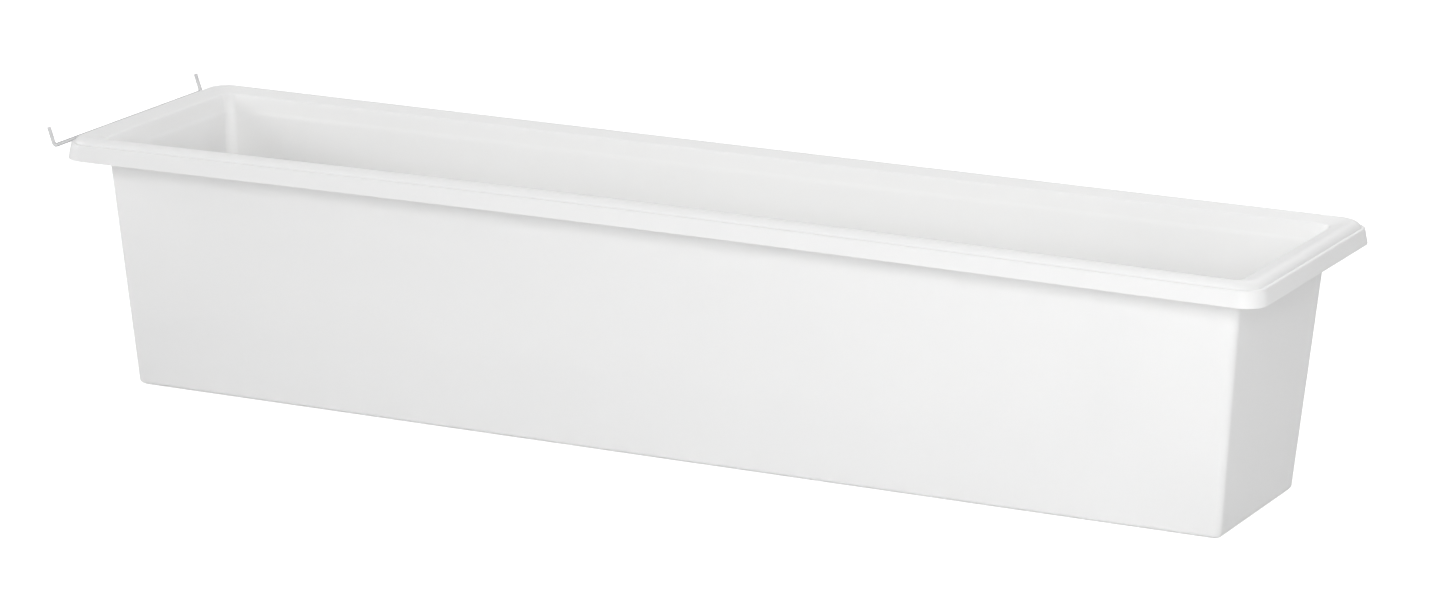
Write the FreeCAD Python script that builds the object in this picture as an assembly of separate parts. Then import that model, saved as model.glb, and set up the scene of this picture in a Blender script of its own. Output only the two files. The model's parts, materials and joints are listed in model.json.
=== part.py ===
"""Self-watering planter: a long trough with a two-part false floor, a filler, a gauge and a wire hanger.

Millimetres, +Z up. X runs along the trough, Y from its front to its back.
The origin is the centre of the flat underside.
"""
import FreeCAD, Part

import os
from math import acos, cos, hypot, pi, radians, sin

V = FreeCAD.Vector
X, Y, Z = V(1, 0, 0), V(0, 1, 0), V(0, 0, 1)

# Rim, outside
RIM_LENGTH = 800.0
RIM_WIDTH = 191.0
RIM_CORNER = 15.0         # at the skirt's foot
MOUTH_CORNER = 6.5        # at the mouth; the rings between them go evenly from one to the other
SKIRT_BOTTOM = 149.0
SKIRT_FLARE = 1.5         # how far the skirt's foot stands out past its top
LEDGE_Z = 159.2
CREST_Z = 163.1
CREST_IN = 8.6            # crest, inward from the skirt's foot
BEAD_FOOT_IN = 3.4        # where the bead starts on the ledge
RIM_WALL = 2.2
LEDGE_ROUND = 1.0
BEAD_FALL = 1.9           # the bead's drop from its crest to the mouth
MOUTH_ROUND = 2.1         # how wide the mouth's rounded edge is

# Body
BOTTOM_LENGTH = 733.4
BOTTOM_WIDTH = 121.1
DRAFT_X = 0.0826          # outward run per millimetre of height
DRAFT_Y = 0.0923
WALL = 2.3
FLOOR = 2.5
BODY_TOP = 158.5
BOTTOM_CORNER = 4.0       # outside radii of the upright edges
TOP_CORNER = 6.5
INNER_CORNER = 8.0
FOOT_ROUND = 2.5
INNER_ROUND = 5.0
MOUTH_IN = 22.5           # inner wall at the mouth, inward from the skirt's foot
MOUTH_Z = 158.9
WALL_OVERLAP = 0.3        # how far the rim's hollow reaches into the wall it joins
CUT_PAST = 1.0            # how far a cut runs past what it cuts

# Insert
PANEL_TOP = 50.0
PANEL_THICK = 2.5
PANEL_GAP = 1.4           # to the trough's walls, and between the halves
LIP_DEPTH = 8.0
LIP_WALL = 2.0
PANEL_CORNER = 9.0
FOOT_TOP_R = 9.0
FOOT_BOTTOM_R = 7.0
FOOT_WALL = 1.6
AIR_HOLE_R = 2.5
AIR_HOLE_PITCH = 15.0
HOLE_MARGIN = 2.0         # from an air hole to anything else in the panel
FIT_GAP = 0.2             # round a tube in its panel
CUP_X = (95.0, 275.0)     # distances of the cups from the middle
CUP_Y = 18.0
CUP_HOLE_R = 29.0
CUP_TOP_R = 28.4
CUP_BOTTOM_R = 23.0
CUP_BOTTOM = 4.5
CUP_WALL = 1.6
CUP_SLOTS = 10
CUP_SLOT = (2.4, 28.0)    # width and height
CUP_SLOT_RISE = 8.0       # from the cup's bottom to its slots
CUP_DRAINS = 5
CUP_DRAIN_R = 2.5
CUP_DRAIN_RING = 12.0
FLANGE_R_ADD = 4.5        # the cups' flanges reach this far past their holes
TUBE_FLANGE_ADD = 3.5     # the tubes' flanges past the tubes
FLANGE_THICK = 1.6
FELT_THICK = 3.0
FELT_GAP = 0.6
FLEECE_THICK = 1.6
FLEECE_EDGE = 1.0         # how far it stays inside the panel's edge, and off the tubes
TOUCH = 0.05              # between faces that rest on each other

# Filler at the front wall, right of the middle
FILLER_X, FILLER_Y = 300.0, -46.0
FILLER_SIZE = (42.0, 22.0)        # the flat oval's length and width
FILLER_WALL = 1.8
FILLER_FOOT = 42.0
FILLER_TOP = 139.0
CAP_THICK = 2.0
CAP_LIP = 3.5
CAP_LIP_WALL = 1.5
CAP_LIP_GAP = 0.7         # between the cap's lip and the tube
CAP_OVERHANG = 0.5
CAP_EAR_GAP = 0.5
TAB = (14.0, 8.0)         # the cap's finger tab
PIN_R = 1.25
PIN_GRIP = 0.01           # the pin's press fit in the ears
KNUCKLE_R = 2.8
KNUCKLE_GAP = 0.3         # beside and in front of the knuckles
EAR_HEIGHT = 9.0
EAR_OUT, EAR_IN = 10.5, 6.2       # the tube's ears lie between these distances from the cap's middle
RUNNING_GAP = 0.06

# Gauge at the front wall, left of the middle
GAUGE_X, GAUGE_Y = -300.0, -46.5
GAUGE_R = 10.0
GAUGE_WALL = 1.5
GAUGE_FOOT = 3.5
GAUGE_TOP = 100.0
LENS_TOP = 145.0
FLOAT_R = 7.8
FLOAT_HEIGHT = 20.0
FLOAT_REST = 4.5
ROD_R = 1.5
MARKER_R = 4.5
MARKER_Z = 104.0
MARKER_HEIGHT = 8.0
MARKER_ROOM = 1.0         # round the marker in the lens
ROD_SINK = 4.0            # the rod's low end above the float's underside
GUIDE_Z = 88.0
GUIDE_THICK = 2.0
INLET_R = 5.5
WATER_SLOT = (3.0, 22.0)  # width and height
WATER_SLOT_RISE = 4.0
LENS_SPIGOT = 6.0
LENS_ROOF = 1.6
LENS_ROUND = 4.0
FLOAT_ROUND = 2.0
MARKER_ROUND = 1.2

# Overflow plug in the trough's bottom
PLUG_X = -185.0
POCKET_DEPTH = 3.5
POCKET_R = 20.0
BOSS_FOOT_R = 24.5        # the raised floor over the pocket, at its foot
STEM_R = 8.0
STEM_BORE_R = 6.0
OVERFLOW_Z = 40.0
PLUG_FLANGE_R = 15.0
PLUG_FLANGE = (0.6, 2.2)  # its underside and top
SEAL_INSET = 0.5
LUG_REACH = 3.0
LUG_WIDTH = 5.0
LUG_THICK = 2.0
LUG_RISE = 0.15           # from the boss to the lugs
LUG_GAP = 0.4             # round a lug in its notch
GRIP = (2.0, 2.4)         # the finger bar's width and height

# Wire hanger at the left end
WIRE_R = 1.25
LOOP_BEND_R = 3.5
TIP_BEND_R = 2.2
BAR_X, BAR_Z = -407.5, 155.8
BAR_HALF = 88.5
TIP_RISE, TIP_LEAN = 11.5, 4.0
PIVOT_X, PIVOT_Z = -390.0, 153.0
LOOP_HALF = 34.0
LOOP_LOW_Z = 145.3
WELD = 0.25               # how far the loop sinks into the bar
RIB_Y = 22.0
RIB_THICK = 3.0
RIB_BOTTOM = 149.6
SNAP_SHARE = 0.8          # the saddle's mouth, as a share of its width

HALF_X, HALF_Y = RIM_LENGTH / 2, RIM_WIDTH / 2
FILLER, GAUGE, PLUG = (FILLER_X, FILLER_Y), (GAUGE_X, GAUGE_Y), (PLUG_X, 0.0)


# ---- helpers -------------------------------------------------------------------------------------------

def rounded_rect(half_x, half_y, radius, z, centre=(0.0, 0.0)):
    """A closed wire: a rectangle with round corners, flat at height z."""
    cx, cy = half_x - radius, half_y - radius
    corners = ((cx, cy, 0), (-cx, cy, 90), (-cx, -cy, 180), (cx, -cy, 270))
    edges = []
    ends = []
    for x, y, start in corners:
        middle = V(x + centre[0], y + centre[1], z)
        angles = (radians(start + turn) for turn in (0, 45, 90))
        points = [middle + V(cos(a), sin(a), 0) * radius for a in angles]
        edges.append(Part.Arc(*points).toShape())
        ends.append((points[0], points[2]))
    for index in range(4):
        a, b = ends[index][1], ends[(index + 1) % 4][0]
        if (b - a).Length > 1e-6:
            edges.append(Part.makeLine(a, b))
    return Part.Wire(Part.__sortEdges__(edges))


def prism(wire, height):
    """A solid that stands on a flat closed wire."""
    return Part.Face(wire).extrude(Z * height)


def stadium(length, width, z, height, centre):
    """A flat oval column: straight sides and half-round ends."""
    return prism(rounded_rect(length / 2, width / 2, width / 2 - 0.001, z, centre), height)


def grown(size, by):
    """A length and a width, both made larger by this much all round."""
    return size[0] + 2 * by, size[1] + 2 * by


def cylinder(radius, z0, z1, centre):
    return Part.makeCylinder(radius, z1 - z0, V(centre[0], centre[1], z0), Z)


def box(size, centre, z0):
    """A box with its middle over centre and its underside at z0."""
    return Part.makeBox(size[0], size[1], size[2], V(centre[0] - size[0] / 2, centre[1] - size[1] / 2, z0))


def body_half(z):
    """The outer wall's half length and half width at height z."""
    return BOTTOM_LENGTH / 2 + DRAFT_X * z, BOTTOM_WIDTH / 2 + DRAFT_Y * z


def body_ring(z, inset=0.0):
    """The body's outline in plan at height z."""
    half_x, half_y = body_half(z)
    radius = BOTTOM_CORNER + (TOP_CORNER - BOTTOM_CORNER) * z / BODY_TOP
    return rounded_rect(half_x - inset, half_y - inset, radius - inset, z)


def inner_half(z):
    """The inner wall's half length and half width at height z."""
    share = (z - FLOOR) / (MOUTH_Z - FLOOR)
    low_x, low_y = body_half(FLOOR)
    low_x, low_y = low_x - WALL, low_y - WALL
    return low_x + share * (HALF_X - MOUTH_IN - low_x), low_y + share * (HALF_Y - MOUTH_IN - low_y)


def level_edges(solid, z):
    """The edges of a solid that lie flat at height z."""
    return [e for e in solid.Edges if abs(e.BoundBox.ZMin - z) < 1e-4 and abs(e.BoundBox.ZMax - z) < 1e-4]


def bent_wire(points, wire_radius, bend_radius):
    """A round wire along a polyline, with every corner bent to bend_radius."""
    edges = []
    start = points[0]
    for before, corner, after in zip(points, points[1:], points[2:]):
        back, ahead = (before - corner).normalize(), (after - corner).normalize()
        half = back.getAngle(ahead) / 2
        reach = bend_radius * cos(half) / sin(half)
        enter, leave = corner + back * reach, corner + ahead * reach
        bisector = (back + ahead).normalize()
        middle = corner + bisector * (bend_radius / sin(half) - bend_radius)
        edges.append(Part.makeLine(start, enter))
        edges.append(Part.Arc(enter, middle, leave).toShape())
        start = leave
    edges.append(Part.makeLine(start, points[-1]))
    path = Part.Wire(edges)
    ring = Part.Wire(Part.makeCircle(wire_radius, points[0], points[1] - points[0]))
    return path.makePipeShell([ring], True, False)


# ---- trough --------------------------------------------------------------------------------------------

def rim_ring(inset, z):
    """The rim's outline in plan, this far in from the skirt's foot."""
    radius = RIM_CORNER - (RIM_CORNER - MOUTH_CORNER) * inset / MOUTH_IN
    return rounded_rect(HALF_X - inset, HALF_Y - inset, radius, z)


def stack(places, ruled=False):
    """A solid lofted through rings given as (inset, z)."""
    return Part.makeLoft([rim_ring(*place) for place in places], True, ruled)


def arc_places(centre, radius, start, stop, steps=4):
    """Places (inset, z) along an arc; angle 0 points inward and pi / 2 points up."""
    angles = [start + (stop - start) * index / steps for index in range(steps + 1)]
    return [(centre[0] + radius * cos(a), centre[1] + radius * sin(a)) for a in angles]


def rim():
    """The flared skirt, its narrow ledge and the rounded bead, hollow below; not yet open at the mouth."""
    up = pi / 2
    # The bead is two arcs that meet level at the crest.
    rise, run = CREST_Z - LEDGE_Z, CREST_IN - BEAD_FOOT_IN
    outer_r = (run ** 2 + rise ** 2) / (2 * rise)
    outer_c = (CREST_IN, CREST_Z - outer_r)
    outer_sweep = acos((outer_r - rise) / outer_r)
    edge_in = MOUTH_IN - MOUTH_ROUND
    fall_run = edge_in - CREST_IN
    fall_r = (fall_run ** 2 + BEAD_FALL ** 2) / (2 * BEAD_FALL)
    fall_sweep = acos((fall_r - BEAD_FALL) / fall_r)

    ledge_c = (SKIRT_FLARE + LEDGE_ROUND, LEDGE_Z - LEDGE_ROUND)
    skirt = stack([(0, SKIRT_BOTTOM), (SKIRT_FLARE, ledge_c[1])], True)
    ledge = stack(arc_places(ledge_c, LEDGE_ROUND, pi, up))
    bead = stack(arc_places(outer_c, outer_r, up + outer_sweep, up))
    half_way = 0.6 * up
    edge_drop = CREST_Z - BEAD_FALL - MOUTH_Z
    mouth_edge = (edge_in + MOUTH_ROUND * sin(half_way), MOUTH_Z + edge_drop * cos(half_way))
    falls = arc_places((CREST_IN, CREST_Z - fall_r), fall_r, up - fall_sweep, up)
    above_mouth = stack([(MOUTH_IN, MOUTH_Z), mouth_edge, falls[0]]).fuse(stack(falls))

    # The hollow keeps one wall's thickness below the skirt, the ledge and the bead.
    ledge_low = LEDGE_Z - RIM_WALL
    hollow = stack([(RIM_WALL, SKIRT_BOTTOM), (RIM_WALL + SKIRT_FLARE, ledge_low)], True)
    unders = arc_places(outer_c, outer_r - RIM_WALL, up + outer_sweep, up)
    hollow = hollow.fuse(stack([(unders[0][0], ledge_low), unders[0]], True)).fuse(stack(unders))
    falls_low = arc_places((CREST_IN, CREST_Z - RIM_WALL - fall_r), fall_r, up - fall_sweep, up)
    # The hollow ends just inside the face of the body's wall, so that the two overlap.
    within = Part.makeLoft([body_ring(z, WALL_OVERLAP) for z in (SKIRT_BOTTOM, LEDGE_Z)], True, True)
    hollow = hollow.cut(within).cut(stack(falls_low))
    return skirt.multiFuse([ledge, bead]).cut(above_mouth).cut(hollow)


def outside():
    """The tapered body, solid, with its bottom edge rounded."""
    outer = Part.makeLoft([body_ring(0), body_ring(BODY_TOP)], True, True)
    return outer.makeFillet(FOOT_ROUND, level_edges(outer, 0))


def core():
    """The trough's hollow, as a solid."""
    hollow = Part.makeLoft([rounded_rect(*inner_half(FLOOR), INNER_CORNER, FLOOR),
                            rounded_rect(*inner_half(MOUTH_Z), MOUTH_CORNER, MOUTH_Z)], True, True)
    return hollow.makeFillet(INNER_ROUND, level_edges(hollow, FLOOR))


def hanger_rib(y):
    """A rib under the left end of the rim, with a snap-in saddle for the wire hanger."""
    outer_x = -HALF_X + (RIM_WALL + SKIRT_FLARE) / 2
    inner_x = -body_half(RIB_BOTTOM)[0] + WALL / 2
    rib = Part.makeBox(inner_x - outer_x, RIB_THICK, LEDGE_Z - RIM_WALL / 2 - RIB_BOTTOM,
                       V(outer_x, y - RIB_THICK / 2, RIB_BOTTOM))
    seat_r = WIRE_R + RUNNING_GAP
    seat = Part.makeCylinder(seat_r, RIB_THICK * 2, V(PIVOT_X, y - RIB_THICK, PIVOT_Z), Y)
    entry = (2 * seat_r * SNAP_SHARE, RIB_THICK * 2, PIVOT_Z - RIB_BOTTOM + CUT_PAST)
    mouth = box(entry, (PIVOT_X, y), RIB_BOTTOM - CUT_PAST)
    return rib.cut(seat).cut(mouth)


def trough():
    """The one-piece moulding."""
    solid = outside().fuse(rim()).cut(core())
    boss_top = FLOOR + POCKET_DEPTH
    boss = Part.makeCone(BOSS_FOOT_R, POCKET_R + FLOOR, POCKET_DEPTH, V(PLUG_X, 0, FLOOR), Z)
    pocket = cylinder(POCKET_R, -CUT_PAST, POCKET_DEPTH, PLUG)
    hole = cylinder(STEM_R + RUNNING_GAP, -CUT_PAST, boss_top + CUT_PAST, PLUG)
    notch = (2 * (STEM_R + LUG_REACH + LUG_GAP), LUG_WIDTH + 2 * LUG_GAP, boss_top + 2 * CUT_PAST)
    notches = box(notch, PLUG, -CUT_PAST)
    solid = solid.fuse(boss).cut(pocket).cut(hole).cut(notches)
    for y in (-RIB_Y, RIB_Y):
        solid = solid.fuse(hanger_rib(y))
    return solid.removeSplitter()


# ---- insert --------------------------------------------------------------------------------------------

def feet_places(side):
    """Where one panel's hollow feet stand: beside the cups, along both walls."""
    reach_y = inner_half(FLOOR)[1] - INNER_ROUND - FOOT_BOTTOM_R
    inner, outer = CUP_X
    middle = (inner + outer) / 2
    far = inner_half(FLOOR)[0] - INNER_ROUND - FOOT_BOTTOM_R
    near = FOOT_TOP_R + 2 * LIP_WALL
    back = [(side * x, reach_y) for x in (near, middle, far)]
    front = [(side * x, -reach_y) for x in (near, middle, far)]
    return back + front


def air_hole_places(side, blocked):
    """A grid of air holes over one panel, leaving out what the blocked circles (x, y, r) cover."""
    half_x, half_y = inner_half(PANEL_TOP)
    edge = PANEL_GAP + LIP_WALL + AIR_HOLE_R + 1.5 * HOLE_MARGIN
    columns = int((half_x - 2 * edge) // AIR_HOLE_PITCH)
    rows = int((half_y - edge) // AIR_HOLE_PITCH)
    places = []
    for column in range(columns + 1):
        for row in range(-rows, rows + 1):
            x, y = side * (edge + column * AIR_HOLE_PITCH), row * AIR_HOLE_PITCH
            if all(hypot(x - bx, y - by) > r + AIR_HOLE_R + HOLE_MARGIN for bx, by, r in blocked):
                places.append((x, y))
    return places


def panel_outline(side, inset, z):
    """One half of the false floor in plan, inset from the panel's edge."""
    half_x, half_y = inner_half(PANEL_TOP - PANEL_THICK - LIP_DEPTH)
    length = half_x - 1.5 * PANEL_GAP
    middle = side * (PANEL_GAP / 2 + length / 2)
    return rounded_rect(length / 2 - inset, half_y - PANEL_GAP - inset, PANEL_CORNER - inset, z, (middle, 0))


def floor_panel(side):
    """A perforated plate with a stiffening lip below its edge, collars round its cups and hollow feet."""
    under = PANEL_TOP - PANEL_THICK
    plate = prism(panel_outline(side, 0, under), PANEL_THICK)
    lip = prism(panel_outline(side, 0, under - LIP_DEPTH), LIP_DEPTH)
    lip = lip.cut(prism(panel_outline(side, LIP_WALL, under - LIP_DEPTH), LIP_DEPTH))
    cups = [(side * x, CUP_Y) for x in CUP_X]
    feet = feet_places(side)
    foot_height = under - FLOOR - TOUCH
    low, high = under - LIP_DEPTH - CUT_PAST, PANEL_TOP + CUT_PAST
    bodies, cuts = [lip], []
    inner_bottom, inner_top = FOOT_BOTTOM_R - FOOT_WALL, FOOT_TOP_R - FOOT_WALL
    for x, y in feet:
        base = V(x, y, FLOOR + TOUCH)
        bodies.append(Part.makeCone(FOOT_BOTTOM_R, FOOT_TOP_R, foot_height, base, Z))
        cuts.append(Part.makeCone(inner_bottom, inner_top, foot_height + PANEL_THICK, base + Z * FOOT_WALL, Z))
    for place in cups:
        bodies.append(cylinder(CUP_HOLE_R + LIP_WALL, under - LIP_DEPTH, under, place))
        cuts.append(cylinder(CUP_HOLE_R, low, high, place))
    blocked = [(x, y, CUP_HOLE_R + FLANGE_R_ADD) for x, y in cups] + [(x, y, FOOT_TOP_R) for x, y in feet]
    if side > 0:
        cuts.append(stadium(*grown(FILLER_SIZE, FIT_GAP), low, high - low, FILLER))
        reach = (FILLER_SIZE[0] - FILLER_SIZE[1]) / 2
        flange_r = FILLER_SIZE[1] / 2 + TUBE_FLANGE_ADD
        blocked += [(FILLER_X + dx, FILLER_Y, flange_r) for dx in (-reach, 0, reach)]
    else:
        cuts.append(cylinder(GAUGE_R + FIT_GAP, low, high, GAUGE))
        blocked.append((GAUGE_X, GAUGE_Y, GAUGE_R + TUBE_FLANGE_ADD))
    for place in air_hole_places(side, blocked):
        cuts.append(cylinder(AIR_HOLE_R, low, high, place))
    return plate.multiFuse(bodies).cut(Part.makeCompound(cuts)).removeSplitter()


def wick_cup(x):
    """A slotted soil cup that hangs in the panel by its flange and dips into the water."""
    height = PANEL_TOP + FLANGE_THICK - CUP_BOTTOM
    outside = Part.makeCone(CUP_BOTTOM_R, CUP_TOP_R, height, V(x, CUP_Y, CUP_BOTTOM), Z)
    flange = cylinder(CUP_HOLE_R + FLANGE_R_ADD, PANEL_TOP + TOUCH, PANEL_TOP + FLANGE_THICK, (x, CUP_Y))
    inner_place = V(x, CUP_Y, CUP_BOTTOM + CUP_WALL)
    inside = Part.makeCone(CUP_BOTTOM_R - CUP_WALL, CUP_TOP_R - CUP_WALL, height, inner_place, Z)
    cup = outside.fuse(flange).cut(inside)
    cuts = []
    width, tall = CUP_SLOT
    for index in range(CUP_SLOTS):
        slot = Part.makeBox(2 * CUP_TOP_R, width, tall, V(0, -width / 2, CUP_BOTTOM + CUP_SLOT_RISE))
        slot.rotate(V(0, 0, 0), Z, index * 360 / CUP_SLOTS)
        slot.translate(V(x, CUP_Y, 0))
        cuts.append(slot)
    for index in range(CUP_DRAINS):
        angle = 2 * pi * index / CUP_DRAINS
        place = (x + CUP_DRAIN_RING * cos(angle), CUP_Y + CUP_DRAIN_RING * sin(angle))
        cuts.append(cylinder(CUP_DRAIN_R, CUP_BOTTOM - CUT_PAST, CUP_BOTTOM + CUP_WALL + CUT_PAST, place))
    return cup.cut(Part.makeCompound(cuts))


def wick_cups(side):
    return Part.makeCompound([wick_cup(side * x) for x in CUP_X])


def cup_felts(side):
    """Felt discs on the cups' bottoms."""
    low = CUP_BOTTOM + CUP_WALL + TOUCH
    radius = CUP_BOTTOM_R - CUP_WALL - FELT_GAP
    return Part.makeCompound([cylinder(radius, low, low + FELT_THICK, (side * x, CUP_Y)) for x in CUP_X])


def fleece(side):
    """The separating fleece: it lies on the cups' flanges and is open over the cups and round the tube."""
    low = PANEL_TOP + FLANGE_THICK + TOUCH
    sheet = prism(panel_outline(side, FLEECE_EDGE, low), FLEECE_THICK)
    base, top = low - CUT_PAST, low + FLEECE_THICK + CUT_PAST
    cuts = [cylinder(CUP_TOP_R - CUP_WALL, base, top, (side * x, CUP_Y)) for x in CUP_X]
    if side > 0:
        cuts.append(stadium(*grown(FILLER_SIZE, FLEECE_EDGE), base, top - base, FILLER))
    else:
        cuts.append(cylinder(GAUGE_R + FLEECE_EDGE, base, top, GAUGE))
    return sheet.cut(Part.makeCompound(cuts))


# ---- filler --------------------------------------------------------------------------------------------

HINGE_Y = FILLER_Y + FILLER_SIZE[1] / 2 + KNUCKLE_R + KNUCKLE_GAP
HINGE_Z = FILLER_TOP + TOUCH + 0.8 * CAP_THICK


def barrel(radius, x0, x1):
    """A round bar on the cap hinge's axis, between two distances from the cap's middle."""
    return Part.makeCylinder(radius, x1 - x0, V(FILLER_X + x0, HINGE_Y, HINGE_Z), X)


def filler_tube():
    """The flat oval tube with its resting flange and two hinge ears at the back of its mouth."""
    height = FILLER_TOP - FILLER_FOOT
    tube = stadium(*FILLER_SIZE, FILLER_FOOT, height, FILLER)
    low = PANEL_TOP + TOUCH
    flange = stadium(*grown(FILLER_SIZE, TUBE_FLANGE_ADD), low, FLANGE_THICK - TOUCH, FILLER)
    bore = stadium(*grown(FILLER_SIZE, -FILLER_WALL), FILLER_FOOT - CUT_PAST, height + 2 * CUT_PAST, FILLER)
    tube = tube.fuse(flange)
    back = FILLER_Y + FILLER_SIZE[1] / 2 - FILLER_WALL / 2
    web_depth = HINGE_Y + KNUCKLE_R - back
    above_depth = HINGE_Y - KNUCKLE_R + FIT_GAP - back
    for a, b in ((-EAR_OUT, -EAR_IN), (EAR_IN, EAR_OUT)):
        web = Part.makeBox(b - a, web_depth, EAR_HEIGHT, V(FILLER_X + a, back, HINGE_Z - EAR_HEIGHT))
        # Above the tube's mouth the web starts behind the cap's plate.
        above = Part.makeBox(b - a, above_depth, EAR_HEIGHT, V(FILLER_X + a, back, FILLER_TOP))
        tube = tube.fuse(web.cut(above)).fuse(barrel(KNUCKLE_R, a, b))
    pin_hole = barrel(PIN_R + PIN_GRIP, -EAR_OUT - CUT_PAST, EAR_OUT + CUT_PAST)
    return tube.cut(bore).cut(pin_hole).removeSplitter()


def filler_cap():
    """The flip cap: a plate, a plug lip inside the tube's mouth, a finger tab and the middle knuckle."""
    low = FILLER_TOP + TOUCH
    plate = stadium(*grown(FILLER_SIZE, CAP_OVERHANG), low, CAP_THICK, FILLER)
    lip_size = grown(FILLER_SIZE, -FILLER_WALL - CAP_LIP_GAP)
    lip = stadium(*lip_size, low - CAP_LIP, CAP_LIP, FILLER)
    lip = lip.cut(stadium(*grown(lip_size, -CAP_LIP_WALL), low - CAP_LIP - CUT_PAST, CAP_LIP + CUT_PAST, FILLER))
    tab = stadium(*TAB, low, CAP_THICK, (FILLER_X, FILLER_Y - FILLER_SIZE[1] / 2 - CAP_OVERHANG))
    half = EAR_IN - KNUCKLE_GAP
    web = Part.makeBox(2 * half, HINGE_Y - FILLER_Y, CAP_THICK, V(FILLER_X - half, FILLER_Y, low))
    # The plate stops short of the tube's ears.
    room = Part.makeBox(2 * FILLER_SIZE[0], FILLER_SIZE[1], 2 * CAP_THICK,
                        V(FILLER_X - FILLER_SIZE[0], HINGE_Y - KNUCKLE_R - CAP_EAR_GAP, low - CAP_THICK / 2))
    hole = barrel(PIN_R + RUNNING_GAP, -half - CUT_PAST, half + CUT_PAST)
    cap = plate.fuse(tab).cut(room).fuse(lip).fuse(barrel(KNUCKLE_R, -half, half)).fuse(web)
    return cap.cut(hole).removeSplitter()


def cap_pin():
    return barrel(PIN_R, -EAR_OUT, EAR_OUT)


# ---- gauge ---------------------------------------------------------------------------------------------

def gauge_tube():
    """The float's guide tube: water slots at its foot, a resting flange and a bridge that guides the rod."""
    inner = GAUGE_R - GAUGE_WALL
    tube = cylinder(GAUGE_R, GAUGE_FOOT, GAUGE_TOP, GAUGE)
    flange = cylinder(GAUGE_R + TUBE_FLANGE_ADD, PANEL_TOP + TOUCH, PANEL_TOP + FLANGE_THICK, GAUGE)
    guide_top = GUIDE_Z + GUIDE_THICK
    cuts = [cylinder(inner, GAUGE_FOOT + GAUGE_WALL / 2, GUIDE_Z, GAUGE),
            cylinder(inner, guide_top, GAUGE_TOP + CUT_PAST, GAUGE),
            cylinder(ROD_R + RUNNING_GAP, GUIDE_Z - CUT_PAST, guide_top + CUT_PAST, GAUGE),
            cylinder(INLET_R, GAUGE_FOOT - CUT_PAST, GAUGE_FOOT + GAUGE_WALL, GAUGE)]
    width, tall = WATER_SLOT
    for turn in (0, 90):
        corner = V(-2 * GAUGE_R, -width / 2, GAUGE_FOOT + WATER_SLOT_RISE)
        slot = Part.makeBox(4 * GAUGE_R, width, tall, corner)
        slot.rotate(V(0, 0, 0), Z, turn)
        slot.translate(V(GAUGE_X, GAUGE_Y, 0))
        cuts.append(slot)
    return tube.fuse(flange).cut(Part.makeCompound(cuts))


def gauge_lens():
    """The clear top: a sleeve with a domed end and a spigot that plugs into the tube."""
    roof = LENS_TOP - LENS_ROOF
    spigot = cylinder(GAUGE_R - GAUGE_WALL - TOUCH, GAUGE_TOP - LENS_SPIGOT, GAUGE_TOP + TOUCH, GAUGE)
    sleeve = cylinder(GAUGE_R, GAUGE_TOP + TOUCH, LENS_TOP, GAUGE)
    sleeve = sleeve.makeFillet(LENS_ROUND, level_edges(sleeve, LENS_TOP))
    inside = cylinder(MARKER_R + MARKER_ROOM, GAUGE_TOP - LENS_SPIGOT - CUT_PAST, roof, GAUGE)
    inside = inside.makeFillet(LENS_ROUND / 2, level_edges(inside, roof))
    return sleeve.fuse(spigot).cut(inside).removeSplitter()


def gauge_float():
    top = FLOAT_REST + FLOAT_HEIGHT
    solid = cylinder(FLOAT_R, FLOAT_REST, top, GAUGE)
    solid = solid.makeFillet(FLOAT_ROUND, level_edges(solid, FLOAT_REST) + level_edges(solid, top))
    return solid.cut(cylinder(ROD_R, FLOAT_REST + ROD_SINK, top + CUT_PAST, GAUGE))


def gauge_rod():
    return cylinder(ROD_R, FLOAT_REST + ROD_SINK, MARKER_Z + MARKER_HEIGHT / 2, GAUGE)


def gauge_marker():
    top = MARKER_Z + MARKER_HEIGHT
    solid = cylinder(MARKER_R, MARKER_Z, top, GAUGE)
    solid = solid.makeFillet(MARKER_ROUND, level_edges(solid, top))
    return solid.cut(cylinder(ROD_R, MARKER_Z - CUT_PAST, MARKER_Z + MARKER_HEIGHT / 2, GAUGE))


# ---- overflow plug -------------------------------------------------------------------------------------

def overflow_plug():
    """A hollow standpipe with a flange below the floor, bayonet lugs above it and a finger bar."""
    stem = cylinder(STEM_R, PLUG_FLANGE[0], OVERFLOW_Z, PLUG)
    flange = cylinder(PLUG_FLANGE_R, *PLUG_FLANGE, PLUG)
    lugs = box((LUG_WIDTH, 2 * (STEM_R + LUG_REACH), LUG_THICK), PLUG, FLOOR + POCKET_DEPTH + LUG_RISE)
    bore = cylinder(STEM_BORE_R, -CUT_PAST, OVERFLOW_Z + CUT_PAST, PLUG)
    bar = box((STEM_R + STEM_BORE_R, *GRIP), PLUG, PLUG_FLANGE[0])
    return stem.fuse(flange).fuse(lugs).cut(bore).fuse(bar).removeSplitter()


def plug_seal():
    low, high = PLUG_FLANGE[1] + TOUCH, POCKET_DEPTH - TOUCH
    hole = cylinder(STEM_R + 2 * TOUCH, low - CUT_PAST, high + CUT_PAST, PLUG)
    return cylinder(PLUG_FLANGE_R - SEAL_INSET, low, high, PLUG).cut(hole)


# ---- wire hanger ---------------------------------------------------------------------------------------

def hanger_bar():
    """The straight wire outside the end of the rim, with both tips bent up and leaning out."""
    points = [V(BAR_X - TIP_LEAN, -BAR_HALF, BAR_Z + TIP_RISE), V(BAR_X, -BAR_HALF, BAR_Z),
              V(BAR_X, BAR_HALF, BAR_Z), V(BAR_X - TIP_LEAN, BAR_HALF, BAR_Z + TIP_RISE)]
    return bent_wire(points, WIRE_R, TIP_BEND_R)


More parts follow.
